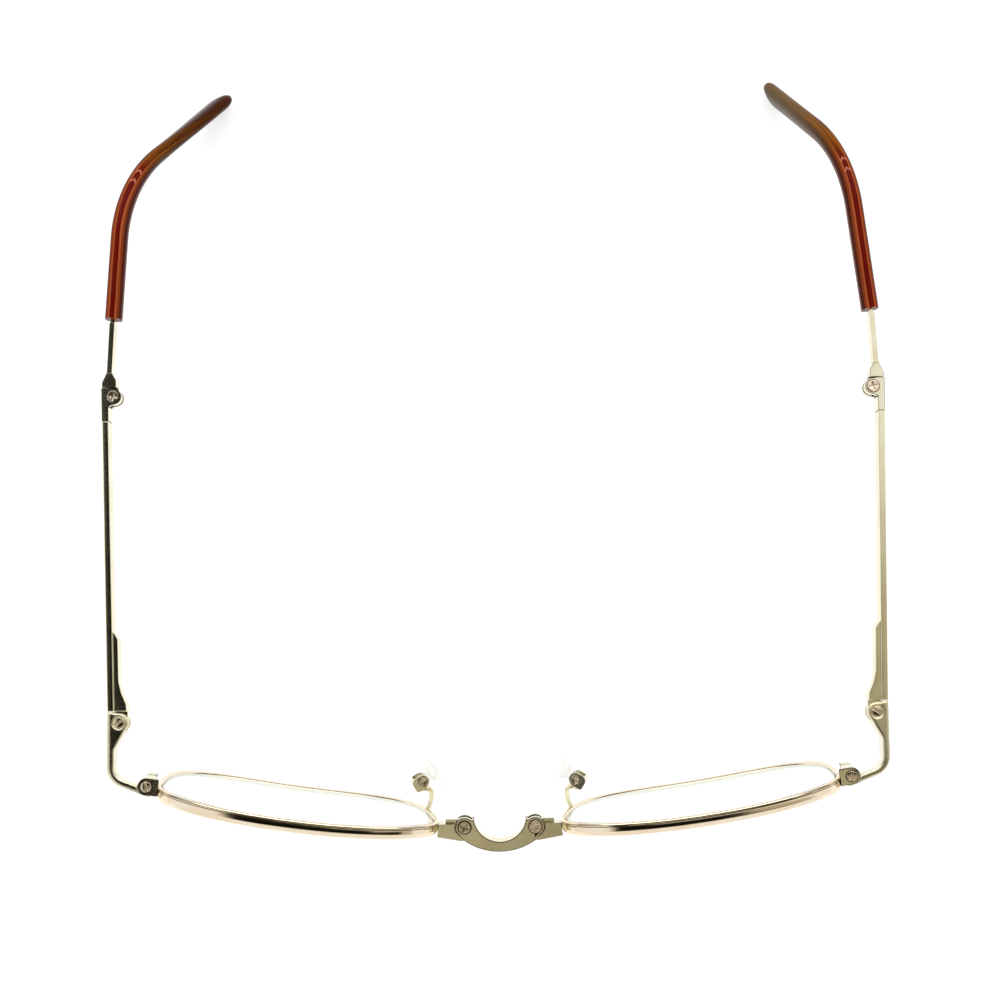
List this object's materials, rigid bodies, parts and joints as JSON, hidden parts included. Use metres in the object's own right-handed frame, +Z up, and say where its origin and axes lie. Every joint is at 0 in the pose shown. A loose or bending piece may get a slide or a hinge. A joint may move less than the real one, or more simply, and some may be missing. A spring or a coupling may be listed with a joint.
{
  "type": "reading glasses",
  "caption": "Folding metal reading glasses with rounded oblong full rims, a folding bridge, screwed nose pads, and temples that fold at their hinges and again behind the middle.",
  "frame": {"origin": "centre of the bounding box's bottom face: on the table that the open glasses stand on, halfway from the front of the bridge to the ends of the tips, on the plane of symmetry", "axes": "+X to the right of the picture, which is the wearer's left side, +Y from the lenses back along the temples, +Z up from the table"},
  "size_m": [0.1348, 0.1391, 0.0309],
  "materials": {
    "frame_metal": "satin",
    "temple_metal": "satin",
    "screw_metal": "polished",
    "lens": "polished",
    "tip_acetate": "gloss",
    "pad_silicone": "satin",
    "pad_core": "satin"
  },
  "bodies": {
    "bridge_block": {"bridge": "frame_metal", "bridge_screw_left": "screw_metal", "bridge_screw_right": "screw_metal"},
    "front_left": {"rim_left": "frame_metal", "lens_left": "lens", "bridge_lug_left": "frame_metal", "rim_lock_upper_left": "frame_metal", "rim_lock_lower_left": "frame_metal", "rim_lock_screw_left": "screw_metal", "end_piece_left": "frame_metal", "temple_hinge_screw_left": "screw_metal", "pad_arm_left": "frame_metal", "pad_box_left": "frame_metal", "pad_screw_left": "screw_metal"},
    "pad_left": {"nose_pad_left": "pad_silicone", "pad_insert_left": "pad_core"},
    "temple_arm_left": {"temple_left": "temple_metal", "temple_hinge_leaf_left": "temple_metal", "fold_fork_left": "temple_metal", "fold_screw_left": "screw_metal"},
    "rear_arm_left": {"fold_tongue_left": "temple_metal", "rear_wire_left": "temple_metal", "temple_tip_left": "tip_acetate"},
    "front_right": {"rim_right": "frame_metal", "lens_right": "lens", "bridge_lug_right": "frame_metal", "rim_lock_upper_right": "frame_metal", "rim_lock_lower_right": "frame_metal", "rim_lock_screw_right": "screw_metal", "end_piece_right": "frame_metal", "temple_hinge_screw_right": "screw_metal", "pad_arm_right": "frame_metal", "pad_box_right": "frame_metal", "pad_screw_right": "screw_metal"},
    "pad_right": {"nose_pad_right": "pad_silicone", "pad_insert_right": "pad_core"},
    "temple_arm_right": {"temple_right": "temple_metal", "temple_hinge_leaf_right": "temple_metal", "fold_fork_right": "temple_metal", "fold_screw_right": "screw_metal"},
    "rear_arm_right": {"fold_tongue_right": "temple_metal", "rear_wire_right": "temple_metal", "temple_tip_right": "tip_acetate"}
  },
  "joints": [
    {"name": "bridge_fold_left", "type": "hinge", "parent": "bridge_block", "child": "front_left", "pos_m": [-0.006, -0.0651, 0.02074], "axis": [0, -0.1219, 0.9925], "range_deg": [-41, 0]},
    {"name": "temple_fold_left", "type": "hinge", "parent": "front_left", "child": "temple_arm_left", "pos_m": [-0.06424, -0.0468, 0.02255], "axis": [0, 0, -1], "range_deg": [0, 86]},
    {"name": "rear_fold_left", "type": "hinge", "parent": "temple_arm_left", "child": "rear_arm_left", "pos_m": [-0.06541, 0.00888, 0.02255], "axis": [0, 0, -1], "range_deg": [0, 168]},
    {"name": "pad_rock_left", "type": "hinge", "parent": "front_left", "child": "pad_left", "pos_m": [-0.0136, -0.05785, 0.01257], "axis": [-0.2079, 0.1192, -0.9709], "range_deg": [-10, 5]},
    {"name": "bridge_fold_right", "type": "hinge", "parent": "bridge_block", "child": "front_right", "pos_m": [0.006, -0.0651, 0.02074], "axis": [0, -0.1219, 0.9925], "range_deg": [0, 41]},
    {"name": "temple_fold_right", "type": "hinge", "parent": "front_right", "child": "temple_arm_right", "pos_m": [0.06424, -0.0468, 0.02255], "axis": [0, 0, 1], "range_deg": [0, 86]},
    {"name": "rear_fold_right", "type": "hinge", "parent": "temple_arm_right", "child": "rear_arm_right", "pos_m": [0.06541, 0.00888, 0.02255], "axis": [0, 0, 1], "range_deg": [0, 168]},
    {"name": "pad_rock_right", "type": "hinge", "parent": "front_right", "child": "pad_right", "pos_m": [0.0136, -0.05785, 0.01257], "axis": [-0.2079, -0.1192, 0.9709], "range_deg": [-10, 5]}
  ]
}
